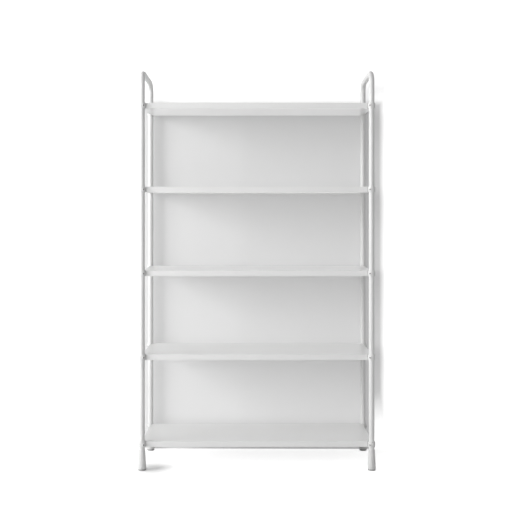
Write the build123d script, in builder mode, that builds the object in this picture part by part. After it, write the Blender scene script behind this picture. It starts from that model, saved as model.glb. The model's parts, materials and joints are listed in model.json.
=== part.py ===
from build123d import *
import math
import os

# Bookcase: two bent tube side frames and five boards on sliding collars, open at the back.
# Millimetres, +Z up, front towards -Y, origin on the floor under the middle of the case.

# Side frames
post_diameter = 25.0
post_wall = 1.5
post_spacing = 1040.0
post_depth = 320.0
overall_height = 1815.0
bend_radius = 50.0
rail_fall = 13.0

# Shelf boards, measured at their top faces
bottom_shelf_height = 130.0
lowest_pitch = 394.0
upper_pitch = 380.0
shelf_thickness = 25.0
shelf_edge_round = 1.5

# Collars that carry a board on the posts
collar_wall = 4.0
collar_clearance = 0.15
collar_inset = 0.5
collar_chamfer = 1.0
scoop_gap = 2.0
shoulder_diameter = 15.0
seat_clearance = 0.1
spigot_diameter = 10.0
spigot_reach = 28.0
spigot_clearance = 0.1
spigot_chamfer = 1.0

# Screws that lock a collar on its post
collar_screw_diameter = 6.0
collar_screw_recess = 1.5
collar_screw_turn = 30.0
screw_boss_diameter = 12.0
screw_boss_height = 2.5
screw_clearance = 0.1
screw_tip_gap = 0.1
socket_width = 3.0
socket_sides = 6
socket_depth = 2.5

# Screws that lock a spigot in its board, from below
lock_screw_diameter = 6.0
lock_screw_distance = 15.0
lock_screw_recess = 0.5

# Wall brackets behind the top board
bracket_thickness = 2.5
bracket_width = 40.0
bracket_height = 32.0
bracket_tread = 30.0
bracket_corner_round = 4.0
bracket_spacing = 700.0
wall_hole_diameter = 6.0
wall_hole_height = 20.0
bracket_screw_diameter = 4.0
bracket_screw_head = 8.0
bracket_screw_head_height = 2.5
bracket_screw_length = 16.0
bracket_screw_spacing = 22.0
bracket_screw_setback = 12.0
pilot_clearance = 0.05
tip_room = 1.0

# Feet
sleeve_height = 85.0
sleeve_wall = 2.0
sleeve_foot_diameter = 38.0
sleeve_socket_depth = 40.0
sleeve_clearance = 0.1
sleeve_chamfer = 1.0
foot_pad_diameter = 36.0
foot_pad_height = 8.0
foot_pad_chamfer = 1.5
foot_pad_gap = 0.5
foot_stem_diameter = 10.0
foot_stem_length = 30.0
foot_stem_clearance = 0.1

# Sizes that follow from those above
post_radius = post_diameter / 2
bore_radius = post_radius + collar_clearance
collar_radius = bore_radius + collar_wall
collar_height = shelf_thickness - 2 * collar_inset
scoop_radius = collar_radius + scoop_gap
boss_reach = collar_radius + screw_boss_height
screw_boss_radius = screw_boss_diameter / 2
spigot_radius = spigot_diameter / 2
spigot_end = scoop_radius + spigot_reach
collar_screw_start = post_radius + screw_tip_gap
collar_screw_length = boss_reach - collar_screw_recess - collar_screw_start
lock_screw_radius = lock_screw_diameter / 2
lock_screw_length = shelf_thickness / 2 - spigot_radius - screw_tip_gap - lock_screw_recess
sleeve_foot_radius = sleeve_foot_diameter / 2
sleeve_bottom = foot_pad_height + foot_pad_gap
post_bottom = sleeve_bottom + sleeve_height - sleeve_socket_depth
sleeve_socket_radius = post_radius + sleeve_clearance

front_axis = -post_depth / 2
rear_axis = post_depth / 2

# The case stands close to the wall, as far from the rear posts as the front screw bosses reach from theirs
screw_facing = math.radians(collar_screw_turn)
boss_front = boss_reach * math.cos(screw_facing) + screw_boss_radius * math.sin(screw_facing)
wall_plane = rear_axis + max(sleeve_foot_radius, boss_front)

shelf_heights = {
    "bottom_shelf": bottom_shelf_height,
    "lower_shelf": bottom_shelf_height + lowest_pitch,
    "middle_shelf": bottom_shelf_height + lowest_pitch + upper_pitch,
    "upper_shelf": bottom_shelf_height + lowest_pitch + 2 * upper_pitch,
    "top_shelf": bottom_shelf_height + lowest_pitch + 3 * upper_pitch,
}
top_face = shelf_heights["top_shelf"]

# Each corner: which side it is on, which row it is in
corners = {
    "front_left": (-1, -1),
    "front_right": (1, -1),
    "rear_left": (-1, 1),
    "rear_right": (1, 1),
}


def post_axis(side, row):
    return side * post_spacing / 2, front_axis if row < 0 else rear_axis


def shelf_middle(height):
    return height - shelf_thickness / 2


def spigot_plane(side, row, height):
    x, y = post_axis(side, row)
    return Plane(origin=(x, y, shelf_middle(height)), x_dir=(0, 0, 1), z_dir=(-side, -row, 0))


# The screws face forward and a little inwards at the front, outwards and a little forward at the rear,
# so that a key reaches them all with the case against a wall
def collar_screw_plane(side, row, height):
    x, y = post_axis(side, row)
    long_part = math.cos(screw_facing)
    short_part = math.sin(screw_facing)
    facing = (-side * short_part, -long_part, 0) if row < 0 else (side * long_part, -short_part, 0)
    return Plane(origin=(x, y, shelf_middle(height)), x_dir=(0, 0, 1), z_dir=facing)


def lock_screw_place(side, row):
    x, y = post_axis(side, row)
    along = (scoop_radius + lock_screw_distance) / math.sqrt(2)
    return x - side * along, y - row * along


bracket_screw_plane = Plane(origin=(0, rear_axis - bracket_screw_setback, top_face + bracket_thickness))


def bracket_screw_places():
    return [
        (side * bracket_spacing / 2 + step * bracket_screw_spacing / 2, 0)
        for side in (-1, 1)
        for step in (-1, 1)
    ]


def save(piece, name):
    piece.part.label = name
    export_step(piece.part, f"parts/{name}.step")


# A side frame: one tube, up the front, back along a rail that falls a little, and down the rear
def make_frame(side):
    x = side * post_spacing / 2
    slope = rail_fall / post_depth
    crest = overall_height - post_radius
    front_corner = crest + bend_radius * (slope + math.hypot(1, slope) - 1)
    rear_corner = front_corner - rail_fall
    with BuildPart() as frame:
        with BuildLine() as route:
            FilletPolyline(
                (x, front_axis, post_bottom),
                (x, front_axis, front_corner),
                (x, rear_axis, rear_corner),
                (x, rear_axis, post_bottom),
                radius=bend_radius,
            )
        with BuildSketch(Plane(origin=(x, front_axis, post_bottom))):
            Circle(post_radius)
            Circle(post_radius - post_wall, mode=Mode.SUBTRACT)
        sweep(path=route.wires()[0])
    return frame


# A board whose corners are scooped round the posts, bored for the collars' spigots
def make_shelf(name, height):
    underside = height - shelf_thickness
    with BuildPart() as shelf:
        with BuildSketch(Plane.XY.offset(underside)):
            Rectangle(post_spacing, post_depth)
            with Locations([post_axis(*corner) for corner in corners.values()]):
                Circle(scoop_radius, mode=Mode.SUBTRACT)
        extrude(amount=shelf_thickness)
        rims = shelf.faces().filter_by(Axis.Z).edges()
        fillet(rims, radius=shelf_edge_round)
        for side, row in corners.values():
            with BuildSketch(spigot_plane(side, row, height)):
                Circle(spigot_radius + spigot_clearance)
            extrude(amount=spigot_end + tip_room, mode=Mode.SUBTRACT)
        with BuildSketch(Plane.XY.offset(underside)):
            with Locations([lock_screw_place(*corner) for corner in corners.values()]):
                Circle(lock_screw_radius + screw_clearance)
        extrude(amount=shelf_thickness / 2, mode=Mode.SUBTRACT)
        if name == "top_shelf":
            with BuildSketch(bracket_screw_plane):
                with Locations(bracket_screw_places()):
                    Circle(bracket_screw_diameter / 2 + pilot_clearance)
            extrude(amount=-(bracket_screw_length + tip_room), mode=Mode.SUBTRACT)
    return shelf


# A collar: ring on the post, boss for its screw, shoulder that seats in the scoop, spigot in the board
def make_collar(side, row, height):
    x, y = post_axis(side, row)
    base = Plane(origin=(x, y, shelf_middle(height) - collar_height / 2))
    spigot = spigot_plane(side, row, height)
    screw = collar_screw_plane(side, row, height)
    with BuildPart() as collar:
        with BuildSketch(spigot):
            Circle(shoulder_diameter / 2)
        extrude(amount=scoop_radius)
        with BuildSketch(base):
            Circle(scoop_radius - seat_clearance)
        extrude(amount=collar_height, mode=Mode.INTERSECT)
        with BuildSketch(base):
            Circle(collar_radius)
        extrude(amount=collar_height)
        rims = collar.faces().filter_by(Axis.Z).edges()
        chamfer(rims, length=collar_chamfer)
        with BuildSketch(spigot):
            Circle(spigot_radius)
        extrude(amount=spigot_end)
        tip = collar.faces().sort_by(Axis(spigot.origin, spigot.z_dir))[-1]
        chamfer(tip.edges(), length=spigot_chamfer)
        with BuildSketch(screw):
            Circle(screw_boss_radius)
        extrude(amount=boss_reach)
        with BuildSketch(base):
            Circle(bore_radius)
        extrude(amount=collar_height, mode=Mode.SUBTRACT)
        with BuildSketch(screw):
            Circle(collar_screw_diameter / 2 + screw_clearance)
        extrude(amount=boss_reach, mode=Mode.SUBTRACT)
    return collar


# Socket screws through the collars' bosses, with their tips against the posts
def make_collar_screws(height):
    with BuildPart() as screws:
        for side, row in corners.values():
            plane = collar_screw_plane(side, row, height)
            with BuildSketch(plane.offset(collar_screw_start)):
                Circle(collar_screw_diameter / 2)
            extrude(amount=collar_screw_length)
            with BuildSketch(plane.offset(collar_screw_start + collar_screw_length)):
                RegularPolygon(socket_width / 2, socket_sides, major_radius=False)
            extrude(amount=-socket_depth, mode=Mode.SUBTRACT)
    return screws


# Socket screws under the board, with their tips against the spigots
def make_lock_screws(height):
    head = Plane.XY.offset(height - shelf_thickness + lock_screw_recess)
    with BuildPart() as screws:
        with BuildSketch(head):
            with Locations([lock_screw_place(*corner) for corner in corners.values()]):
                Circle(lock_screw_radius)
        extrude(amount=lock_screw_length)
        with BuildSketch(head):
            with Locations([lock_screw_place(*corner) for corner in corners.values()]):
                RegularPolygon(socket_width / 2, socket_sides, major_radius=False)
        extrude(amount=socket_depth, mode=Mode.SUBTRACT)
    return screws


# A plane through a post's axis, for sections turned about it
def turning_plane(side, row, height):
    x, y = post_axis(side, row)
    return Plane(origin=(x, y, height), x_dir=(1, 0, 0), z_dir=(0, -1, 0))


# A tapered sleeve round the lower end of a post, bored below for the levelling foot
def make_sleeve(side, row):
    plane = turning_plane(side, row, sleeve_bottom)
    top_radius = sleeve_socket_radius + sleeve_wall
    stem_hole_radius = foot_stem_diameter / 2 + foot_stem_clearance
    stem_hole_depth = foot_stem_length + tip_room
    socket_floor = sleeve_height - sleeve_socket_depth
    with BuildPart() as sleeve:
        with BuildSketch(plane):
            with BuildLine():
                Polyline(
                    (0, stem_hole_depth),
                    (stem_hole_radius, stem_hole_depth),
                    (stem_hole_radius, 0),
                    (sleeve_foot_radius - sleeve_chamfer, 0),
                    (sleeve_foot_radius, sleeve_chamfer),
                    (top_radius, sleeve_height - sleeve_chamfer),
                    (top_radius - sleeve_chamfer, sleeve_height),
                    (sleeve_socket_radius, sleeve_height),
                    (sleeve_socket_radius, socket_floor),
                    (0, socket_floor),
                    close=True,
                )
            make_face()
        revolve(axis=Axis(plane.origin, (0, 0, 1)))
    return sleeve


# A levelling foot: round pad on the floor and the stem that screws up into the sleeve
def make_levelling_foot(side, row):
    plane = turning_plane(side, row, 0)
    pad_radius = foot_pad_diameter / 2
    stem_radius = foot_stem_diameter / 2
    stem_top = sleeve_bottom + foot_stem_length
    with BuildPart() as foot:
        with BuildSketch(plane):
            with BuildLine():
                Polyline(
                    (0, 0),
                    (pad_radius - foot_pad_chamfer, 0),
                    (pad_radius, foot_pad_chamfer),
                    (pad_radius, foot_pad_height - foot_pad_chamfer),
                    (pad_radius - foot_pad_chamfer, foot_pad_height),
                    (stem_radius, foot_pad_height),
                    (stem_radius, stem_top),
                    (0, stem_top),
                    close=True,
                )
            make_face()
        revolve(axis=Axis(plane.origin, (0, 0, 1)))
    return foot


# An angle that stands on the rear edge of the top board and reaches back to the wall
def make_wall_bracket(side):
    x = side * bracket_spacing / 2
    tread_front = rear_axis - bracket_tread
    with BuildPart() as bracket:
        with BuildSketch(Plane.YZ.offset(x - bracket_width / 2)):
            with BuildLine():
                Polyline(
                    (tread_front, top_face),
                    (wall_plane, top_face),
                    (wall_plane, top_face + bracket_height),
                    (wall_plane - bracket_thickness, top_face + bracket_height),
                    (wall_plane - bracket_thickness, top_face + bracket_thickness),
                    (tread_front, top_face + bracket_thickness),
                    close=True,
                )
            make_face()
        extrude(amount=bracket_width)
        upper_corners = bracket.edges().filter_by(Axis.Y).group_by(Axis.Z)[-1]
        front_corners = bracket.edges().filter_by(Axis.Z).group_by(Axis.Y)[0]
        fillet(upper_corners + front_corners, radius=bracket_corner_round)
        with BuildSketch(Plane(origin=(x, wall_plane, top_face + wall_hole_height), z_dir=(0, 1, 0))):
            Circle(wall_hole_diameter / 2)
        extrude(amount=-bracket_thickness, mode=Mode.SUBTRACT)
        with BuildSketch(bracket_screw_plane):
            with Locations(bracket_screw_places()):
                Circle(bracket_screw_diameter / 2 + pilot_clearance)
        extrude(amount=-bracket_thickness, mode=Mode.SUBTRACT)
    return bracket


def make_bracket_screws():
    with BuildPart() as screws:
        with BuildSketch(bracket_screw_plane):
            with Locations(bracket_screw_places()):
                Circle(bracket_screw_diameter / 2)
        extrude(amount=-bracket_screw_length)
        with BuildSketch(bracket_screw_plane):
            with Locations(bracket_screw_places()):
                Circle(bracket_screw_head / 2)
        extrude(amount=bracket_screw_head_height)
        with BuildSketch(bracket_screw_plane.offset(bracket_screw_head_height)):
            with Locations(bracket_screw_places()):
                RegularPolygon(socket_width / 2, socket_sides, major_radius=False)
        extrude(amount=-socket_depth, mode=Mode.SUBTRACT)
    return screws


os.makedirs("parts", exist_ok=True)

for side_name, side in (("left", -1), ("right", 1)):
    save(make_frame(side), f"{side_name}_frame")
    save(make_wall_bracket(side), f"wall_bracket_{side_name}")

for corner_name, corner in corners.items():
    save(make_sleeve(*corner), f"foot_sleeve_{corner_name}")
    save(make_levelling_foot(*corner), f"levelling_foot_{corner_name}")

for shelf_name, height in shelf_heights.items():
    save(make_shelf(shelf_name, height), shelf_name)
    save(make_collar_screws(height), f"{shelf_name}_collar_screws")
    save(make_lock_screws(height), f"{shelf_name}_lock_screws")
    for corner_name, corner in corners.items():
        save(make_collar(*corner, height), f"{shelf_name}_collar_{corner_name}")

save(make_bracket_screws(), "wall_bracket_screws")
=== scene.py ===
import bmesh
import bpy
import json
import math
from mathutils import Matrix, Vector


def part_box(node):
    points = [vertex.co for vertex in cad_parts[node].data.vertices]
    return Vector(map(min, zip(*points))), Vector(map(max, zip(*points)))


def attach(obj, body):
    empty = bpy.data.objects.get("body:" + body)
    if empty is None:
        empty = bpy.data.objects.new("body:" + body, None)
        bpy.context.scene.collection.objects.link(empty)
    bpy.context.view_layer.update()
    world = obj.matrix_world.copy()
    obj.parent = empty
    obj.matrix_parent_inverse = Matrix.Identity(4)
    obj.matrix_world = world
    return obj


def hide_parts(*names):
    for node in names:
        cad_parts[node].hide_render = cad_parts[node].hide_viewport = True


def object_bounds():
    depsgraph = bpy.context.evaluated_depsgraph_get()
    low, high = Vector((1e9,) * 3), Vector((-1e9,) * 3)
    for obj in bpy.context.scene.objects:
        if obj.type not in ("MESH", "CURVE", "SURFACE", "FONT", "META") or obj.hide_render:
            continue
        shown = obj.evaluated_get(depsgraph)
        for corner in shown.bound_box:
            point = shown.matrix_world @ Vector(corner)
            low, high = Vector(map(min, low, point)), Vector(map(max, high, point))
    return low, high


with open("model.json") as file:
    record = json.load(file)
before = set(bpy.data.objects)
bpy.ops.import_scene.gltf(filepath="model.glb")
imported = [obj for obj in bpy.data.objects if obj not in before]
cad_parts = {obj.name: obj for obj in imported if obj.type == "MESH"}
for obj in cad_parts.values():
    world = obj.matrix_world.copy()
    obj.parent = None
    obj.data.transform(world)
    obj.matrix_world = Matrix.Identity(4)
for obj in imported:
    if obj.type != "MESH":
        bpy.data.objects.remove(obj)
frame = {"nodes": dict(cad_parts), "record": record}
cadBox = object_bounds()
record = frame["record"]
print("frame loaded:", len(frame["nodes"]), "nodes")

# where the posts stand, read from the frame
leftLow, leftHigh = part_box("left_frame")
postRadius = (leftHigh.x - leftLow.x) / 2
sideAxis = -(leftLow.x + leftHigh.x) / 2
frontAxis = leftLow.y + postRadius
rearAxis = leftHigh.y - postRadius
postBottom = leftLow.z
railAxis = leftHigh.z - postRadius

# a corner's side is -1 at the left, its row is -1 at the front
corners = {"front_left": (-1, -1), "front_right": (1, -1), "rear_left": (-1, 1), "rear_right": (1, 1)}
shelves = ("bottom_shelf", "lower_shelf", "middle_shelf", "upper_shelf", "top_shelf")
bracketNodes = ("wall_bracket_left", "wall_bracket_right")
bodyOf = {node: body for body, nodes in record["behaviour"]["bodies"].items() for node in nodes}

origin = (0, 0, 0)
upward = (0, 0, 1)
downward = (0, 0, -1)

# mesh corners closer than the first are merged, and closer than the second they count as level
weldGap = 1e-6
levelGap = 1e-5


def postPlace(side, row):
    return side * sideAxis, frontAxis if row < 0 else rearAxis


def boardMiddle(shelf):
    low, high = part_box(shelf)
    return (low.z + high.z) / 2


# small hand tools
def clearAll():
    if bpy.context.mode != "OBJECT":
        bpy.ops.object.mode_set(mode="OBJECT")
    bpy.ops.object.select_all(action="DESELECT")


def onlySelect(*pieces):
    clearAll()
    for piece in pieces:
        piece.select_set(True)
    bpy.context.view_layer.objects.active = pieces[0]


def settle(piece):
    onlySelect(piece)
    bpy.ops.object.transform_apply(location=True, rotation=True, scale=True)
    return piece


def pick(piece, kind, test):
    bpy.ops.mesh.select_mode(type={"verts": "VERT", "edges": "EDGE"}[kind])
    bpy.ops.mesh.select_all(action="DESELECT")
    mesh = bmesh.from_edit_mesh(piece.data)
    for item in getattr(mesh, kind):
        item.select_set(bool(test(item)))
    bmesh.update_edit_mesh(piece.data)


def extrude(move):
    bpy.ops.mesh.extrude_region_move(TRANSFORM_OT_translate={"value": move})


def applyModifier(piece, kind, **settings):
    onlySelect(piece)
    modifier = piece.modifiers.new(kind.lower(), kind)
    for key, value in settings.items():
        setattr(modifier, key, value)
    bpy.ops.object.modifier_apply(modifier=modifier.name)


def join(pieces):
    onlySelect(*pieces)
    if len(pieces) > 1:
        bpy.ops.object.join()
    return bpy.context.object


def combine(piece, other, operation):
    applyModifier(piece, "BOOLEAN", operation=operation, solver="EXACT", object=other)
    bpy.data.objects.remove(other)


def roundEdges(piece, width, segments=3, degrees=40):
    applyModifier(
        piece,
        "BEVEL",
        width=width,
        segments=segments,
        limit_method="ANGLE",
        angle_limit=math.radians(degrees),
    )


def fixNormals(piece):
    onlySelect(piece)
    bpy.ops.object.mode_set(mode="EDIT")
    bpy.ops.mesh.select_all(action="SELECT")
    bpy.ops.mesh.remove_doubles(threshold=weldGap)
    bpy.ops.mesh.normals_make_consistent(inside=False)
    bpy.ops.object.mode_set(mode="OBJECT")


def smooth(piece, degrees=35):
    onlySelect(piece)
    bpy.ops.object.shade_smooth_by_angle(angle=math.radians(degrees))


def keepFlats(piece):
    applyModifier(piece, "WEIGHTED_NORMAL", keep_sharp=True, weight=100)


def copyOf(master, matrix):
    onlySelect(master)
    bpy.ops.object.duplicate(linked=False)
    piece = bpy.context.object
    piece.matrix_world = matrix
    settle(piece)
    if matrix.determinant() < 0:
        fixNormals(piece)
    return piece


def rod(radius, length, start, direction, sides=32):
    clearAll()
    along = Vector(direction).normalized()
    turn = along.to_track_quat("Z", "Y").to_euler()
    middle = Vector(start) + along * length / 2
    bpy.ops.mesh.primitive_cylinder_add(
        vertices=sides, radius=radius, depth=length, location=middle, rotation=turn
    )
    return settle(bpy.context.object)


# a closed round shape: rings in the order of its outline, each a radius and a height above the start
def turned(start, rings, sides=64):
    clearAll()
    lastRadius, lastHeight = rings[0]
    base = Vector(start) + Vector((0, 0, lastHeight))
    bpy.ops.mesh.primitive_circle_add(vertices=sides, radius=lastRadius, location=base)
    piece = settle(bpy.context.object)
    bpy.ops.object.mode_set(mode="EDIT")
    bpy.ops.mesh.select_all(action="SELECT")
    for radius, height in rings[1:]:
        extrude((0, 0, height - lastHeight))
        grow = radius / lastRadius
        centre = (start[0], start[1], start[2] + height)
        bpy.ops.transform.resize(value=(grow, grow, 1), center_override=centre)
        lastRadius, lastHeight = radius, height
    pick(piece, "edges", lambda edge: edge.is_boundary)
    bpy.ops.mesh.fill_holes(sides=0)
    bpy.ops.object.mode_set(mode="OBJECT")
    fixNormals(piece)
    return piece


def camelName(node):
    words = node.split("_")
    return words[0] + "".join(word.title() for word in words[1:])


def mount(piece, node, material):
    piece.name = camelName(node)
    piece.data.name = piece.name
    piece.data.materials.clear()
    piece.data.materials.append(material)
    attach(piece, bodyOf[node])
    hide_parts(node)


# shader maths
class Wire:
    def __init__(self, finish, socket):
        self.finish = finish
        self.socket = socket

    def maths(self, operation, first, second):
        return self.finish.node("ShaderNodeMath", {"operation": operation}, {0: first, 1: second})

    def __add__(self, other):
        return self.maths("ADD", self, other)

    def __radd__(self, other):
        return self.maths("ADD", other, self)

    def __sub__(self, other):
        return self.maths("SUBTRACT", self, other)

    def __rsub__(self, other):
        return self.maths("SUBTRACT", other, self)

    def __mul__(self, other):
        return self.maths("MULTIPLY", self, other)

    def __rmul__(self, other):
        return self.maths("MULTIPLY", other, self)

    def atLeast(self, other):
        return self.maths("MAXIMUM", self, other)

    def atMost(self, other):
        return self.maths("MINIMUM", self, other)

    def over(self, other):
        return self.maths("GREATER_THAN", self, other)


class Finish:
    def __init__(self, owner):
        owner.use_nodes = True
        self.nodes = owner.node_tree.nodes
        self.links = owner.node_tree.links

    def plug(self, socket, value):
        if isinstance(value, Wire):
            self.links.new(value.socket, socket)
        else:
            socket.default_value = value

    def node(self, kind, settings, sockets, output=0):
        made = self.nodes.new(kind)
        for key, value in settings.items():
            setattr(made, key, value)
        for key, value in sockets.items():
            self.plug(made.inputs[key], value)
        return Wire(self, made.outputs[output])

    def feed(self, shader, sockets):
        for key, value in sockets.items():
            self.plug(self.nodes[shader].inputs[key], value)

    def noise(self, place, scale, detail=2.0, stretch=(1, 1, 1)):
        stretched = self.node("ShaderNodeMapping", {}, {"Vector": place, "Scale": stretch})
        sockets = {"Vector": stretched, "Scale": scale, "Detail": detail}
        return self.node("ShaderNodeTexNoise", {}, sockets, "Fac")

    # a Mix node's colours are its inputs 6 and 7 and its output 2
    def blendColours(self, factor, first, second):
        sockets = {0: factor, 6: (*first, 1), 7: (*second, 1)}
        return self.node("ShaderNodeMix", {"data_type": "RGBA"}, sockets, 2)


# one coated surface: soft clouds in the colour, a fine skin in the normal, uneven gloss
noiseMiddle = 0.5


def coated(name, look):
    material = bpy.data.materials.new(name)
    finish = Finish(material)
    place = finish.node("ShaderNodeTexCoord", {}, {}, "Object")
    cloud = finish.noise(place, look["cloudScale"], detail=3.0)
    skin = finish.noise(place, look["skinScale"], stretch=look.get("stretch", (1, 1, 1)))
    colour = finish.blendColours(cloud, look["dark"], look["light"])
    gloss = look["roughness"] + (cloud - noiseMiddle) * look["roughnessSwing"]
    normal = finish.node(
        "ShaderNodeBump",
        {},
        {"Strength": look["skinStrength"], "Distance": look["skinDepth"], "Height": skin},
    )
    fixed = {"Metallic": look.get("metallic", 0.0), "Coat Weight": look.get("coat", 0.0)}
    finish.feed("Principled BSDF", {"Base Color": colour, "Roughness": gloss, "Normal": normal, **fixed})
    return material


powderLook = {
    "dark": (0.74, 0.74, 0.735),
    "light": (0.82, 0.82, 0.815),
    "cloudScale": 7.0,
    "skinScale": 900.0,
    "skinStrength": 0.25,
    "skinDepth": 0.0002,
    "roughness": 0.42,
    "roughnessSwing": 0.12,
}
lacquerLook = {
    "dark": (0.82, 0.82, 0.815),
    "light": (0.87, 0.87, 0.865),
    "cloudScale": 3.0,
    "skinScale": 500.0,
    "skinStrength": 0.12,
    "skinDepth": 0.0001,
    "roughness": 0.36,
    "roughnessSwing": 0.1,
    "coat": 0.08,
}
sleeveLook = {
    "dark": (0.7, 0.7, 0.695),
    "light": (0.76, 0.76, 0.755),
    "cloudScale": 25.0,
    "skinScale": 2200.0,
    "skinStrength": 0.3,
    "skinDepth": 0.0001,
    "roughness": 0.5,
    "roughnessSwing": 0.1,
}
footLook = {
    "dark": (0.4, 0.4, 0.4),
    "light": (0.5, 0.5, 0.495),
    "cloudScale": 60.0,
    "skinScale": 1800.0,
    "skinStrength": 0.4,
    "skinDepth": 0.0002,
    "roughness": 0.62,
    "roughnessSwing": 0.2,
}
steelLook = {
    "dark": (0.5, 0.5, 0.49),
    "light": (0.66, 0.66, 0.65),
    "cloudScale": 180.0,
    "skinScale": 1500.0,
    "stretch": (1, 1, 0.15),
    "skinStrength": 0.2,
    "skinDepth": 0.0001,
    "roughness": 0.34,
    "roughnessSwing": 0.2,
    "metallic": 1.0,
}
oxideLook = {
    "dark": (0.09, 0.09, 0.09),
    "light": (0.15, 0.15, 0.148),
    "cloudScale": 300.0,
    "skinScale": 1500.0,
    "skinStrength": 0.2,
    "skinDepth": 0.0001,
    "roughness": 0.42,
    "roughnessSwing": 0.2,
    "metallic": 1.0,
}
powderCoat = coated("whitePowderCoat", powderLook)
boardLacquer = coated("whiteSatinLacquer", lacquerLook)
sleevePlastic = coated("paleMouldedPlastic", sleeveLook)
footPlastic = coated("greyMouldedPlastic", footLook)
screwSteel = coated("zincPlatedSteel", steelLook)
setScrewSteel = coated("blackOxideSteel", oxideLook)
print("finishes made")


# side frames: one bent tube each, whose rail falls a little towards the rear
tube = {"bendRadius": 0.05, "railFall": 0.013, "wall": 0.0015, "sides": 48, "bendSteps": 18}


def makeFrame(side):
    x = side * sideAxis
    bend = tube["bendRadius"]
    slope = tube["railFall"] / (rearAxis - frontAxis)
    tilt = math.atan(slope)
    railRun = rearAxis - frontAxis - 2 * bend
    frontBend = railAxis - bend
    rearBend = frontBend - railRun * slope
    clearAll()
    bpy.ops.mesh.primitive_circle_add(
        vertices=tube["sides"], radius=postRadius, location=(x, frontAxis, postBottom)
    )
    piece = settle(bpy.context.object)
    bpy.ops.object.mode_set(mode="EDIT")
    bpy.ops.mesh.select_all(action="SELECT")
    turn = {"steps": tube["bendSteps"], "axis": (1, 0, 0)}
    extrude((0, 0, frontBend - postBottom))
    bpy.ops.mesh.spin(center=(x, frontAxis + bend, frontBend), angle=math.pi / 2 + tilt, **turn)
    extrude((0, railRun, -railRun * slope))
    bpy.ops.mesh.spin(center=(x, rearAxis - bend, rearBend), angle=math.pi / 2 - tilt, **turn)
    extrude((0, 0, postBottom - rearBend))
    bpy.ops.object.mode_set(mode="OBJECT")
    fixNormals(piece)
    applyModifier(piece, "SOLIDIFY", thickness=tube["wall"], offset=-1)
    smooth(piece)
    return piece


mount(makeFrame(-1), "left_frame", powderCoat)
mount(makeFrame(1), "right_frame", powderCoat)
print("side frames bent")


# wall bracket sizes, which the top board shares for its pilot holes
bracket = {
    "thickness": 0.0025,
    "drillLength": 0.01,
    "cornerRound": 0.004,
    "cornerSteps": 6,
    "foldRound": 0.003,
    "foldSteps": 5,
    "edgeRound": 0.0004,
    "wallHoleRadius": 0.003,
    "wallHoleHeight": 0.02,
    "screwHoleRadius": 0.00205,
    "screwSpacing": 0.022,
    "screwSetback": 0.012,
    "screwRadius": 0.002,
    "screwLength": 0.016,
    "tipRoom": 0.001,
    "headRadius": 0.004,
    "headHeight": 0.0025,
    "headRound": 0.0008,
    "headSides": 48,
}


def bracketScrewPlaces(node):
    low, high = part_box(node)
    middle = (low.x + high.x) / 2
    for step in (-1, 1):
        yield middle + step * bracket["screwSpacing"] / 2, rearAxis - bracket["screwSetback"]


# boards: scooped round the posts, rounded at the rims, drilled below and bored into the corners
board = {
    "scoopRadius": 0.01865,
    "scoopSides": 96,
    "rimRound": 0.0015,
    "lockHoleRadius": 0.0031,
    "lockHoleDepth": 0.0125,
    "lockDistance": 0.015,
    "boreRadius": 0.0051,
    "boreEnd": 0.04765,
    "overcut": 0.005,
}


def lockPlace(side, row):
    x, y = postPlace(side, row)
    along = (board["scoopRadius"] + board["lockDistance"]) / math.sqrt(2)
    return x - side * along, y - row * along


def pilotHoles(top):
    depth = bracket["screwLength"] + bracket["tipRoom"] - bracket["thickness"]
    return [
        rod(bracket["screwHoleRadius"], depth + board["overcut"], (x, y, top - depth), upward)
        for node in bracketNodes
        for x, y in bracketScrewPlaces(node)
    ]


def makeBoard(shelf):
    low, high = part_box(shelf)
    below = low.z - board["overcut"]
    through = high.z - low.z + 2 * board["overcut"]
    lockDepth = board["lockHoleDepth"] + board["overcut"]
    clearAll()
    bpy.ops.mesh.primitive_cube_add(size=1, location=(low + high) / 2, scale=high - low)
    piece = settle(bpy.context.object)

    def scoop(side, row):
        start = (*postPlace(side, row), below)
        return rod(board["scoopRadius"], through, start, upward, board["scoopSides"])

    def lockHole(side, row):
        return rod(board["lockHoleRadius"], lockDepth, (*lockPlace(side, row), below), upward)

    def bore(side, row):
        start = (*postPlace(side, row), boardMiddle(shelf))
        return rod(board["boreRadius"], board["boreEnd"], start, (-side, -row, 0))

    def cutCorners(cutter):
        combine(piece, join([cutter(side, row) for side, row in corners.values()]), "DIFFERENCE")

    cutCorners(scoop)
    roundEdges(piece, board["rimRound"])
    cutCorners(lockHole)
    cutCorners(bore)
    if shelf == "top_shelf":
        combine(piece, join(pilotHoles(high.z)), "DIFFERENCE")
    smooth(piece, degrees=32)
    keepFlats(piece)
    return piece


for shelf in shelves:
    mount(makeBoard(shelf), shelf, boardLacquer)
print("boards cut:", len(shelves))


# collars: modelled once for the front left post, at the origin
collar = {
    "ringRadius": 0.01665,
    "boreRadius": 0.01265,
    "height": 0.024,
    "rim": 0.001,
    "sides": 96,
    "shoulderRadius": 0.0075,
    "seatRadius": 0.01855,
    "spigotRadius": 0.005,
    "spigotEnd": 0.04665,
    "spigotRim": 0.001,
    "bossRadius": 0.006,
    "bossReach": 0.01915,
    "bossRim": 0.0006,
    "branchSides": 48,
    "screwHoleRadius": 0.0031,
    "screwTurn": 30.0,
    "overreach": 1.2,
}


# front screws face forward and a little inwards, rear ones outwards and a little forward
def screwFacing(side, row):
    turn = math.radians(collar["screwTurn"])
    if row < 0:
        return Vector((-side * math.sin(turn), -math.cos(turn), 0))
    return Vector((side * math.cos(turn), -math.sin(turn), 0))


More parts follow.
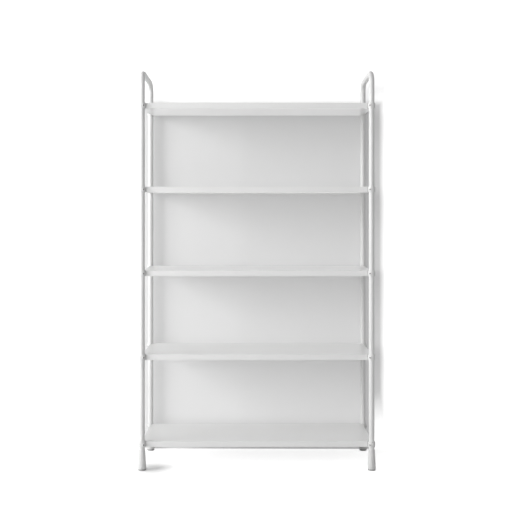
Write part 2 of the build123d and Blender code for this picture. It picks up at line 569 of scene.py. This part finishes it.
def makeCollar():
    height = collar["height"]
    base = (0, 0, -height / 2)
    inward = (1, 1, 0)
    outward = screwFacing(-1, -1)
    shoulderReach = collar["seatRadius"] * collar["overreach"]
    shoulder = rod(collar["shoulderRadius"], shoulderReach, origin, inward, collar["branchSides"])
    seat = rod(collar["seatRadius"], height, base, upward, collar["sides"])
    combine(shoulder, seat, "INTERSECT")
    ring = rod(collar["ringRadius"], height, base, upward, collar["sides"])
    roundEdges(ring, collar["rim"], segments=2)
    spigot = rod(collar["spigotRadius"], collar["spigotEnd"], origin, inward)
    roundEdges(spigot, collar["spigotRim"], segments=1)
    boss = rod(collar["bossRadius"], collar["bossReach"], origin, outward, collar["branchSides"])
    roundEdges(boss, collar["bossRim"], segments=2)
    for other in (shoulder, spigot, boss):
        combine(ring, other, "UNION")
    bore = rod(collar["boreRadius"], height * 2, (0, 0, -height), upward, collar["sides"])
    combine(ring, bore, "DIFFERENCE")
    screwReach = collar["bossReach"] * collar["overreach"]
    combine(ring, rod(collar["screwHoleRadius"], screwReach, origin, outward), "DIFFERENCE")
    smooth(ring)
    return ring


collarMaster = makeCollar()
for shelf in shelves:
    for corner, (side, row) in corners.items():
        place = Matrix.Translation((*postPlace(side, row), boardMiddle(shelf)))
        flip = Matrix.Diagonal((-side, 1, 1, 1))
        turn = Matrix.Rotation(0 if row < 0 else -math.pi / 2, 4, "Z")
        mount(copyOf(collarMaster, place @ flip @ turn), f"{shelf}_collar_{corner}", powderCoat)
bpy.data.objects.remove(collarMaster)
print("collars made:", len(shelves) * len(corners))


# socket screws: modelled once, pointing down from the head's face at the origin
grub = {
    "radius": 0.003,
    "rim": 0.0004,
    "sides": 40,
    "socketWidth": 0.003,
    "socketDepth": 0.0025,
    "socketSides": 6,
    "collarLength": 0.00505,
    "collarRecess": 0.0015,
    "lockLength": 0.0069,
    "lockRecess": 0.0005,
}


# the width of a six-sided socket is taken across its flats, the cutter's radius to its corners
def cutSocket(piece, face):
    radius = grub["socketWidth"] / math.sqrt(3)
    depth = grub["socketDepth"]
    cutter = rod(radius, depth * 2, (0, 0, face - depth), upward, grub["socketSides"])
    combine(piece, cutter, "DIFFERENCE")


def makeGrub(length):
    piece = rod(grub["radius"], length, (0, 0, -length), upward, grub["sides"])
    roundEdges(piece, grub["rim"], segments=2)
    cutSocket(piece, 0)
    smooth(piece, degrees=30)
    return piece


def turnTo(direction):
    return Vector(direction).to_track_quat("Z", "Y").to_matrix().to_4x4()


collarGrub = makeGrub(grub["collarLength"])
lockGrub = makeGrub(grub["lockLength"])
collarReach = collar["bossReach"] - grub["collarRecess"]
for shelf in shelves:
    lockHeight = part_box(shelf)[0].z + grub["lockRecess"]
    collarSet = []
    lockSet = []
    for side, row in corners.values():
        facing = screwFacing(side, row)
        head = Vector((*postPlace(side, row), boardMiddle(shelf))) + facing * collarReach
        collarSet.append(copyOf(collarGrub, Matrix.Translation(head) @ turnTo(facing)))
        below = Matrix.Translation((*lockPlace(side, row), lockHeight)) @ turnTo(downward)
        lockSet.append(copyOf(lockGrub, below))
    mount(join(collarSet), f"{shelf}_collar_screws", setScrewSteel)
    mount(join(lockSet), f"{shelf}_lock_screws", setScrewSteel)
bpy.data.objects.remove(collarGrub)
bpy.data.objects.remove(lockGrub)
print("socket screws set")


# feet: tapered sleeves, and levelling feet whose threads are plain rings
sleeve = {
    "socketRadius": 0.0126,
    "wall": 0.002,
    "footRadius": 0.019,
    "socketDepth": 0.04,
    "stemHoleRadius": 0.0051,
    "stemHoleDepth": 0.031,
    "round": 0.001,
}
foot = {
    "padRadius": 0.018,
    "padHeight": 0.008,
    "padRound": 0.0015,
    "stemRadius": 0.005,
    "coreRadius": 0.0043,
    "pitch": 0.0015,
    "crestStart": 0.4,
    "crestEnd": 0.6,
    "threadSteps": 24,
}


def standPlace(node):
    low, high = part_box(node)
    return ((low.x + high.x) / 2, (low.y + high.y) / 2, low.z), high.z - low.z


def makeSleeve(node):
    start, height = standPlace(node)
    rings = [
        (sleeve["stemHoleRadius"], sleeve["stemHoleDepth"]),
        (sleeve["stemHoleRadius"], 0),
        (sleeve["footRadius"], 0),
        (sleeve["socketRadius"] + sleeve["wall"], height),
        (sleeve["socketRadius"], height),
        (sleeve["socketRadius"], height - sleeve["socketDepth"]),
    ]
    piece = turned(start, rings)
    roundEdges(piece, sleeve["round"])
    smooth(piece, degrees=32)
    return piece


# the stem starts inside the pad
def makeFoot(node):
    start, height = standPlace(node)
    padHeight = foot["padHeight"]
    pad = turned(start, [(foot["padRadius"], 0), (foot["padRadius"], padHeight)])
    roundEdges(pad, foot["padRound"])
    crest, core, pitch = foot["stemRadius"], foot["coreRadius"], foot["pitch"]
    level = padHeight + pitch / 2
    rings = [(core, padHeight / 2), (core, level)]
    while level + pitch < height:
        rings += [(crest, level + pitch * foot["crestStart"]), (crest, level + pitch * foot["crestEnd"])]
        level += pitch
        rings.append((core, level))
    rings.append((core, height))
    stem = turned(start, rings, foot["threadSteps"])
    piece = join([pad, stem])
    smooth(piece, degrees=32)
    return piece


for corner in corners:
    mount(makeSleeve(f"foot_sleeve_{corner}"), f"foot_sleeve_{corner}", sleevePlastic)
    mount(makeFoot(f"levelling_foot_{corner}"), f"levelling_foot_{corner}", footPlastic)
print("feet turned:", len(corners))


# wall brackets: a folded plate on the rear of the top board, drilled by rods that start one thickness
# before the plate and pass right through it
def makeBracket(node):
    low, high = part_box(node)
    middle = (low.x + high.x) / 2
    thick = bracket["thickness"]
    drill = bracket["drillLength"]
    clearAll()
    bpy.ops.mesh.primitive_plane_add(size=1, location=(middle, (low.y + high.y) / 2, low.z))
    piece = bpy.context.object
    piece.scale = (high.x - low.x, high.y - low.y, 1)
    settle(piece)
    bpy.ops.object.mode_set(mode="EDIT")

    def atRear(vert):
        return abs(vert.co.y - high.y) < levelGap

    def atFold(vert):
        return atRear(vert) and abs(vert.co.z - low.z) < levelGap

    def atEnd(vert):
        return vert.co.z > high.z - levelGap or vert.co.y < low.y + levelGap

    pick(piece, "edges", lambda edge: all(atRear(vert) for vert in edge.verts))
    extrude((0, 0, high.z - low.z))
    pick(piece, "verts", atEnd)
    bpy.ops.mesh.bevel(offset=bracket["cornerRound"], segments=bracket["cornerSteps"], affect="VERTICES")
    pick(piece, "edges", lambda edge: all(atFold(vert) for vert in edge.verts))
    bpy.ops.mesh.bevel(offset=bracket["foldRound"], segments=bracket["foldSteps"])
    bpy.ops.object.mode_set(mode="OBJECT")
    fixNormals(piece)
    applyModifier(piece, "SOLIDIFY", thickness=thick, offset=-1, use_even_offset=True)
    fixNormals(piece)
    roundEdges(piece, bracket["edgeRound"], segments=2, degrees=60)
    wallStart = (middle, high.y - thick * 2, low.z + bracket["wallHoleHeight"])
    holes = [rod(bracket["wallHoleRadius"], drill, wallStart, (0, 1, 0))]
    for x, y in bracketScrewPlaces(node):
        holes.append(rod(bracket["screwHoleRadius"], drill, (x, y, low.z - thick), upward))
    combine(piece, join(holes), "DIFFERENCE")
    smooth(piece, degrees=32)
    keepFlats(piece)
    return piece


def makeBracketScrews():
    head = bracket["headHeight"]
    length = bracket["screwLength"]
    screw = rod(bracket["headRadius"], head, origin, upward, bracket["headSides"])
    roundEdges(screw, bracket["headRound"])
    combine(screw, rod(bracket["screwRadius"], length + head / 2, (0, 0, -length), upward), "UNION")
    cutSocket(screw, head)
    smooth(screw, degrees=30)
    copies = []
    for node in bracketNodes:
        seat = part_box(node)[0].z + bracket["thickness"]
        for x, y in bracketScrewPlaces(node):
            copies.append(copyOf(screw, Matrix.Translation((x, y, seat))))
    bpy.data.objects.remove(screw)
    return join(copies)


for node in bracketNodes:
    mount(makeBracket(node), node, powderCoat)
mount(makeBracketScrews(), "wall_bracket_screws", screwSteel)
print("wall brackets folded")


# stage: a white floor and wall that keep some shadows, in white surroundings
def rays(finish, kind):
    return finish.node("ShaderNodeLightPath", {}, {}, kind)


def seenRays(finish):
    kinds = ("Is Camera Ray", "Is Glossy Ray", "Is Transmission Ray")
    direct, mirrored, refracted = (rays(finish, kind) for kind in kinds)
    return (direct + mirrored + refracted).atMost(1.0)


def mapped(finish, value, before, after=(0, 1)):
    ends = {
        "From Min": before[0],
        "From Max": before[1],
        "To Min": after[0],
        "To Max": after[1],
    }
    return finish.node("ShaderNodeMapRange", {"clamp": True}, {"Value": value, **ends})


def glowing(finish, shade, strength):
    diffuse = finish.node("ShaderNodeBsdfDiffuse", {}, {"Color": (shade, shade, shade, 1)})
    glow = finish.node("ShaderNodeEmission", {}, {"Strength": strength})
    return finish.node("ShaderNodeAddShader", {}, {0: diffuse, 1: glow})


# the floor glows to white, and glows less in a round patch beside the front left foot: there the dimmer
# glow lets the foot's real cast shadow show, and also paints some shade around it
floor = {
    "size": 30.0,
    "shade": 0.8,
    "glow": 0.74,
    "paintedShadowGlow": 0.15,
    "paintedShadowShift": (0.045, 0.03, 0.0),
    "paintedShadowFade": (0.03, 0.13),
    "farGlow": 1.0,
    "farFade": (0.8, 3.0),
}


def makeFloor():
    clearAll()
    bpy.ops.mesh.primitive_plane_add(size=floor["size"])
    piece = bpy.context.object
    piece.name = "floor"
    material = bpy.data.materials.new("paleFloor")
    finish = Finish(material)
    place = finish.node("ShaderNodeTexCoord", {}, {}, "Object")
    shadow = Vector((*postPlace(-1, -1), 0)) + Vector(floor["paintedShadowShift"])

    def distanceTo(point):
        sockets = {0: place, 1: point}
        return finish.node("ShaderNodeVectorMath", {"operation": "DISTANCE"}, sockets, "Value")

    # painted shadow: the floor's glow drops in a round patch just right of and behind the front left
    # foot
    near = mapped(finish, distanceTo(shadow), floor["paintedShadowFade"], (floor["paintedShadowGlow"], floor["glow"]))
    far = mapped(finish, distanceTo(origin), floor["farFade"], (0, floor["farGlow"]))
    strength = near.atLeast(far) * seenRays(finish)
    finish.feed("Material Output", {"Surface": glowing(finish, floor["shade"], strength)})
    piece.data.materials.append(material)


# the wall shows from the front alone, whitens past the case and stops no lamp; inside the bays it also
# glows a little to the camera, more towards the bottom, which is painted light;
# light that comes to it from a little way off goes back into the bays, and the backs of the pieces close
# to it stay lit
wall = {
    "size": 16.0,
    "shade": 0.66,
    "gap": 0.005,
    "turn": 0.5,
    "bounceFrom": 0.04,
    "glow": (0.23, 0.15),
    "glowRise": (0.1, 1.65),
    "leftFade": (-0.545, -0.575),
    "rightFade": (0.592, 0.645),
    "topGlow": 0.62,
    "topFade": (1.68, 1.72),
    "highFade": (1.8, 1.88),
    "lowFade": (0.35, 0.03),
    "lowSide": (0.55, 0.57),
}


def makeWall():
    clearAll()
    bpy.ops.mesh.primitive_plane_add(
        size=wall["size"],
        location=(0, cadBox[1].y + wall["gap"], wall["size"] / 2),
        rotation=(math.pi / 2, 0, -math.radians(wall["turn"])),
    )
    piece = settle(bpy.context.object)
    piece.name = "wall"
    material = bpy.data.materials.new("paleWall")
    finish = Finish(material)
    place = finish.node("ShaderNodeTexCoord", {}, {}, "Object")
    across = finish.node("ShaderNodeSeparateXYZ", {}, {0: place}, "X")
    height = finish.node("ShaderNodeSeparateXYZ", {}, {0: place}, "Z")
    # painted light: behind the bays the wall glows to the camera, from 0.23 near the floor down to 0.15
    # at the top board
    fade = mapped(finish, height, wall["glowRise"], wall["glow"])
    rises = [
        mapped(finish, across, wall["leftFade"]),
        mapped(finish, across, wall["rightFade"]),
        mapped(finish, height, wall["topFade"], (0, wall["topGlow"])),
        mapped(finish, height, wall["highFade"]),
        mapped(finish, height, wall["lowFade"]) * mapped(finish, across, wall["lowSide"]),
    ]
    for rise in rises:
        fade = fade.atLeast(rise)
    direct = rays(finish, "Is Camera Ray")
    bounced = rays(finish, "Is Diffuse Ray") * rays(finish, "Ray Length").over(wall["bounceFrom"])
    behind = finish.node("ShaderNodeNewGeometry", {}, {}, "Backfacing")
    seen = (direct + bounced) * (1 - behind)
    clear = finish.node("ShaderNodeBsdfTransparent", {}, {})
    pale = glowing(finish, wall["shade"], fade * direct)
    shown = finish.node("ShaderNodeMixShader", {}, {0: seen, 1: clear, 2: pale})
    finish.feed("Material Output", {"Surface": shown})
    piece.data.materials.append(material)


# the surroundings are white where they are seen, and dimmer where they light
ambient = 0.33
scene = bpy.context.scene


def makeWorld():
    world = bpy.data.worlds.new("whiteStudio")
    scene.world = world
    finish = Finish(world)
    seen = seenRays(finish)
    strength = seen + (1 - seen) * ambient
    finish.feed("Background", {"Color": (1, 1, 1, 1), "Strength": strength})


makeFloor()
makeWall()
makeWorld()

# lamps: a broad key far to the left, a weaker fill from the front left
lamps = {
    "key": {"place": (-5.6, -2.4, 2.4), "target": (0.0, 0.0, 0.9), "size": 2.8, "watts": 254.0},
    "fill": {"place": (-2.4, -3.8, 2.3), "target": (0.0, 0.0, 0.9), "size": 3.0, "watts": 44.0},
}
for name, lamp in lamps.items():
    data = bpy.data.lights.new(name, "AREA")
    data.energy = lamp["watts"]
    data.size = lamp["size"]
    light = bpy.data.objects.new(name, data)
    light.location = lamp["place"]
    aim = Vector(lamp["target"]) - Vector(lamp["place"])
    light.rotation_euler = aim.to_track_quat("-Z", "Y").to_euler()
    scene.collection.objects.link(light)

# camera: level, straight on, the frame shifted down to take in the floor
shot = {
    "distance": 3.918,
    "height": 1.201,
    "sensor": 36.0,
    "lens": 60.8,
    "shiftX": -0.0017,
    "shiftY": -0.0996,
}
cameraData = bpy.data.cameras.new("camera")
cameraData.sensor_width = shot["sensor"]
cameraData.lens = shot["lens"]
cameraData.shift_x = shot["shiftX"]
cameraData.shift_y = shot["shiftY"]
camera = bpy.data.objects.new("camera", cameraData)
camera.location = (0, frontAxis - shot["distance"], shot["height"])
camera.rotation_euler = (math.pi / 2, 0, 0)
scene.collection.objects.link(camera)
scene.camera = camera
scene.view_settings.view_transform = "Standard"
print("stage lit")
